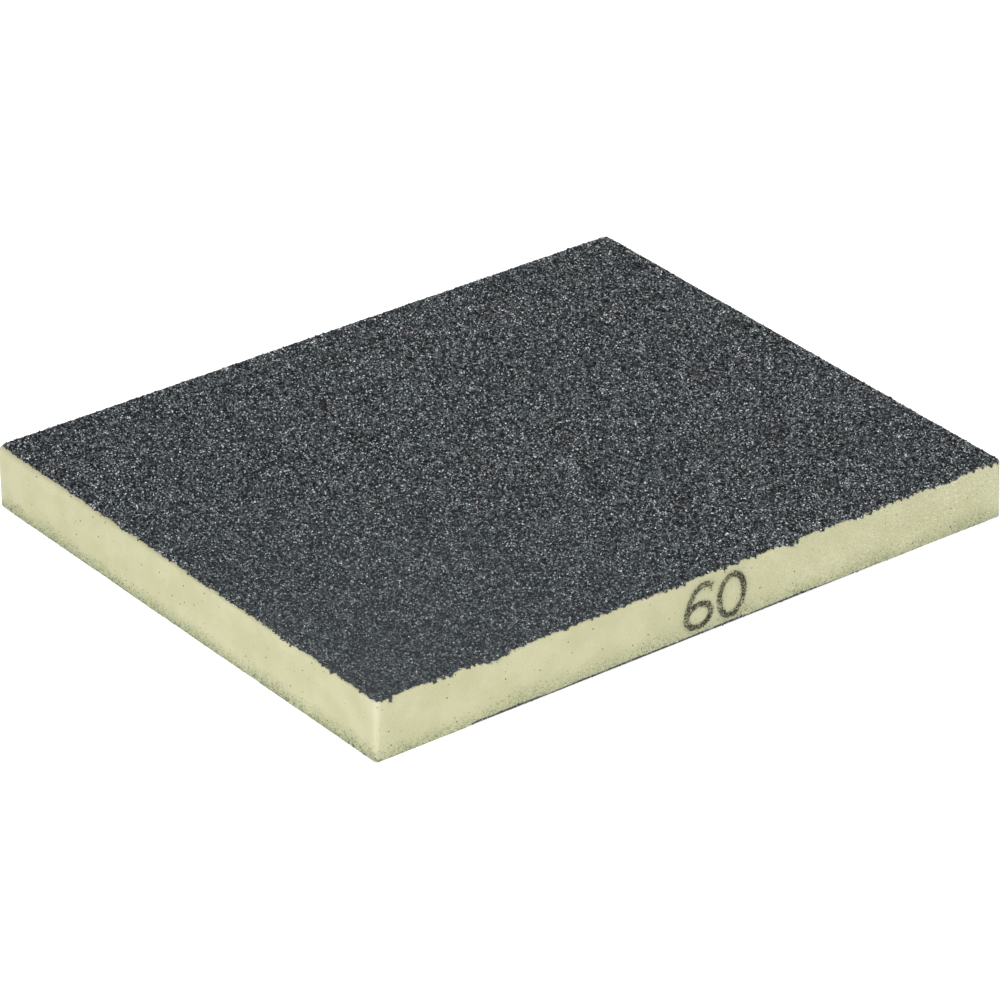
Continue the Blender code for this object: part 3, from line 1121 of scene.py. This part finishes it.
def grain_material():
    """Crushed crystals: mostly dark slate, some grey, and a few pale ones whose near-white tones are
    painted glints.
    """
    material, tree, shader = new_material("grain", 0.35)
    shader.inputs["Specular IOR Level"].default_value = 0.4
    tone = color_ramp(tree, attribute(tree, "tone"), GRAIN_AND_GLINT_TONES)
    cloud = remapped(tree, noise_at(tree, 5200), 0.4, 0.7, 0.0, 0.15)
    tone = mix(tree, cloud, tone, CLOUD_TONE)
    tree.links.new(weathered(tree, tone), shader.inputs["Base Color"])
    return material


def binder_material():
    """Hardened resin film with a purple-brown cast."""
    material, tree, shader = new_material("binder", 0.40)
    tone = color_ramp(tree, noise_at(tree, 1500, 3.0), BINDER_TONES)
    tree.links.new(tone, shader.inputs["Base Color"])
    return material


def ink_material():
    """Dark olive stamping ink, dried in specks."""
    material, tree, shader = new_material("ink", 0.85)
    shader.inputs["Specular IOR Level"].default_value = 0.2
    tone = color_ramp(tree, attribute(tree, "tone"), INK_TONES)
    tree.links.new(tone, shader.inputs["Base Color"])
    return material


def dust_material():
    """Loose grit dust on the foam, grey-green, with a few pale flecks."""
    material, tree, shader = new_material("dust", 0.80)
    tone = color_ramp(tree, attribute(tree, "tone"), DUST_TONES)
    tree.links.new(tone, shader.inputs["Base Color"])
    return material


# Stage


def add_floor():
    material, _, shader = new_material("floor_paint", 0.9)
    shader.inputs["Base Color"].default_value = (FLOOR_TONE, FLOOR_TONE, FLOOR_TONE, 1)
    shader.inputs["Emission Color"].default_value = (1, 1, 1, 1)
    shader.inputs["Emission Strength"].default_value = FLOOR_GLOW
    shader.inputs["Specular IOR Level"].default_value = 0.0
    corners = np.array([[-1, -1, 0], [1, -1, 0], [1, 1, 0], [-1, 1, 0]])
    floor = new_piece("floor", FLOOR_HALF * corners, [np.array([[0, 1, 2, 3]])], material)


def aim(thing, place_at, target, roll=0.0):
    """Put a light or the camera at a place and point it at the target."""
    thing.location = place_at
    facing = (target - place_at).to_track_quat("-Z", "Y")
    thing.rotation_euler = facing.to_euler()
    if roll:
        thing.rotation_euler = (facing.to_matrix() @ Matrix.Rotation(roll, 3, "Z")).to_euler()


def around(azimuth, elevation, distance):
    """A place around the pad: azimuth 0 is in front, and it grows towards the left side."""
    flat = distance * math.cos(elevation)
    height = distance * math.sin(elevation)
    return Vector((-flat * math.sin(azimuth), -flat * math.cos(azimuth), height))


def add_camera():
    data = bpy.data.cameras.new("camera")
    data.lens = CAMERA_LENS
    data.sensor_width = CAMERA_SENSOR
    camera = new_object("camera", data)
    place_at = CAMERA_TARGET + around(CAMERA_AZIMUTH, CAMERA_ELEVATION, CAMERA_DISTANCE)
    aim(camera, place_at, CAMERA_TARGET, CAMERA_ROLL)
    bpy.context.scene.camera = camera


def add_softbox(name, azimuth, elevation, size, power):
    """A round light that points at the middle of the pad's foot. Its angles are in degrees."""
    data = bpy.data.lights.new(name, "AREA")
    data.shape = "DISK"
    data.size = size
    data.energy = power
    light = new_object(name, data)
    place_at = around(math.radians(azimuth), math.radians(elevation), LIGHT_DISTANCE)
    aim(light, place_at, Vector((0, 0, 0)))


def add_world():
    world = bpy.data.worlds.new("studio")
    world.use_nodes = True
    background = world.node_tree.nodes["Background"]
    background.inputs["Color"].default_value = (1, 1, 1, 1)
    background.inputs["Strength"].default_value = WORLD_STRENGTH
    bpy.context.scene.world = world


# The pad


def add_grains(top_bed, bottom_bed, tree, shelf):
    """Layers of grains, numbered on from the top bed's to the bottom bed's."""
    material = grain_material()
    layers = [("top", top_bed, TOP_DENSITY, TOP_SHIFT)] * TOP_LAYERS
    layers += [("bottom", bottom_bed, BOTTOM_DENSITY, BOTTOM_SHIFT)] * BOTTOM_LAYERS
    grains = []
    for number, (side, bed, density, (low, high)) in enumerate(layers, 1):
        name = f"{side}_grains_{number}"
        shifts = ((0, 0, low), (0, 0, high))
        seed = number * LAYER_SEED_STEP
        grains.append(scattered(
            name, tree, bed.data, shelf, density, GRAIN_SIZE, shifts, seed, material
        ))
    return grains


def add_digits(faces, foam, shelf):
    """The digits' ink, stamped as specks onto the foam from their flat faces."""
    tree = stamp_tree()
    material = ink_material()
    shifts = ((-INK_SPREAD, 0, -INK_SPREAD), (INK_SPREAD, 0, INK_SPREAD))
    digits = []
    for node, face, seed in zip(DIGITS, faces, INK_SEEDS):
        name = node.replace("grade", "ink")
        digits.append(scattered(
            name, tree, face, shelf, INK_DENSITY, INK_SPECK, shifts, seed, material, onto=foam
        ))
        bpy.data.meshes.remove(face)
    return digits


def main():
    add_camera()
    add_world()
    add_floor()
    add_softbox("key", *KEY_LIGHT)
    add_softbox("rim", *RIM_LIGHT)
    bpy.context.scene.view_settings.view_transform = "Standard"

    faces = [digit_face(name, drop) for name, drop in zip(DIGITS, INK_DROP)]
    foam = foam_block(foam_material(), faces)
    grit = bed_material()
    top_bed = grit_bed("top_grit_bed", 1, TOP_GRIT_HIGH.z, TOP_CELLS, TOP_BED_SEED, grit)
    low_coat = BOTTOM_GRIT_LOW.z + COAT_LIFT
    bottom_bed = grit_bed("bottom_grit_bed", -1, low_coat, BOTTOM_CELLS, BOTTOM_BED_SEED, grit)
    binder = binder_material()
    top_fringe = binder_fringe("top_binder_fringe", 1, TOP_FRINGE_SEED, binder)
    bottom_fringe = binder_fringe("bottom_binder_fringe", -1, BOTTOM_FRINGE_SEED, binder)

    tree = scatter_tree()
    shelf = crystal_shapes()
    grains = add_grains(top_bed, bottom_bed, tree, shelf)
    still = ((0, 0, 0), (0, 0, 0))
    dust = scattered(
        "foam_dust", tree, foam.data, shelf, DUST_DENSITY, DUST_SIZE, still, DUST_SEED, dust_material()
    )
    digits = add_digits(faces, foam, shelf)
    for crystal in list(shelf.objects):
        bpy.data.objects.remove(crystal)
    bpy.data.collections.remove(shelf)

    for piece, slot, nodes in (
        (foam, "foam", ["foam_core"]),
        (top_bed, "grit_coat", ["top_grit_coat"]),
        (bottom_bed, "grit_coat", ["bottom_grit_coat"]),
        (top_fringe, "bond_coat", ["top_bond_coat"]),
        (bottom_fringe, "bond_coat", ["bottom_bond_coat"]),
        (dust, "grit_coat", []),
        *((digit, "ink", [node]) for digit, node in zip(digits, DIGITS)),
        *((piece, "grit_coat", []) for piece in grains),
    ):
        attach(piece, "root")
        if nodes:
            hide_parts(*nodes)


main()
